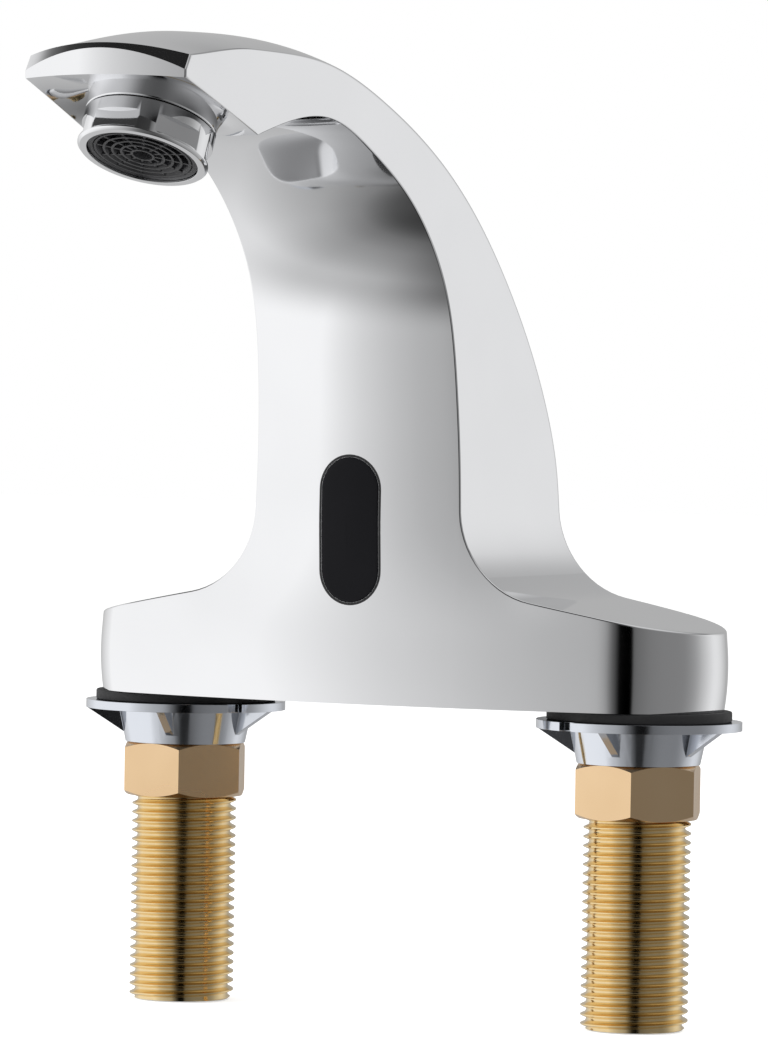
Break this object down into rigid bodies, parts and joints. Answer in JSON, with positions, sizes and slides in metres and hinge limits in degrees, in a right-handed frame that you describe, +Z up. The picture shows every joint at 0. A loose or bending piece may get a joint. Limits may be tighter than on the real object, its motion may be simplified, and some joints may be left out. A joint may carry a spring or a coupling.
{
  "type": "sensor tap",
  "caption": "Touchless basin tap: one-piece chromed base and curved spout with a sensor window, tilted aerator, and threaded brass shanks clamped by flange washers and hex nuts.",
  "frame": {"origin": "midway between the two shanks, in the plane of the base's underside, where the tap sits on the deck", "axes": "+X along the base to the right, -Y to the front over the basin, +Z up out of the deck"},
  "size_m": [0.1416, 0.1475, 0.1889],
  "materials": {
    "chrome": "polished chrome plate on a casting",
    "chromed_zinc": "bright chrome plate on a die casting",
    "brass": "bright machined brass",
    "raw_brass": "matte sand-blasted brass",
    "rubber": "black moulded rubber",
    "sensor_lens": "glossy black infrared-clear plastic",
    "black_plastic": "black moulded plastic",
    "circuit_board": "green lacquered board",
    "diode": "dark clear epoxy",
    "steel": "drawn stainless steel"
  },
  "bodies": {
    "root": {"body": "chrome", "sensor_window": "sensor_lens", "window_seal": "rubber", "sensor_housing": "black_plastic", "sensor_cover": "black_plastic", "sensor_board": "circuit_board", "infrared_emitter": "diode", "infrared_receiver": "diode", "sensor_screws": "steel", "waterway_tube": "steel", "tube_sleeve": "rubber", "cable_grommet": "rubber", "outlet_adapter": "brass", "outlet_oring": "rubber", "left_shank": "brass", "right_shank": "brass"},
    "left_clamp": {"left_gasket": "rubber", "left_flange_washer": "chromed_zinc"},
    "left_nut": {"left_hex_nut": "raw_brass"},
    "right_clamp": {"right_gasket": "rubber", "right_flange_washer": "chromed_zinc"},
    "right_nut": {"right_hex_nut": "raw_brass"},
    "aerator_core": {"aerator_insert": "black_plastic", "aerator_screen": "steel", "aerator_washer": "rubber"},
    "aerator_ring": {"aerator_shell": "chrome"}
  },
  "joints": [
    {"name": "left_clamp_slide", "type": "slide", "parent": "root", "child": "left_clamp", "axis": [0, 0, -1], "range_m": [0, 0.0379]},
    {"name": "left_nut_turn", "type": "hinge", "parent": "left_clamp", "child": "left_nut", "pos_m": [-0.0508, 0, -0.0158], "axis": [0, 0, -1], "range_deg": [0, 7524]},
    {"name": "right_clamp_slide", "type": "slide", "parent": "root", "child": "right_clamp", "axis": [0, 0, -1], "range_m": [0, 0.0379]},
    {"name": "right_nut_turn", "type": "hinge", "parent": "right_clamp", "child": "right_nut", "pos_m": [0.0508, 0, -0.0158], "axis": [0, 0, -1], "range_deg": [0, 7524]},
    {"name": "aerator_lower", "type": "slide", "parent": "root", "child": "aerator_core", "axis": [0, -0.4067, -0.9135], "range_m": [0, 0.0045]},
    {"name": "aerator_unscrew", "type": "hinge", "parent": "aerator_core", "child": "aerator_ring", "pos_m": [0, -0.1065, 0.103], "axis": [0, -0.4067, -0.9135], "range_deg": [0, 1621]}
  ],
  "couplings": [
    {"joint": "left_nut_turn", "follows": "left_clamp_slide", "rad_per_m": 3463.1},
    {"joint": "right_nut_turn", "follows": "right_clamp_slide", "rad_per_m": 3463.1},
    {"joint": "aerator_unscrew", "follows": "aerator_lower", "rad_per_m": 6283.2}
  ]
}
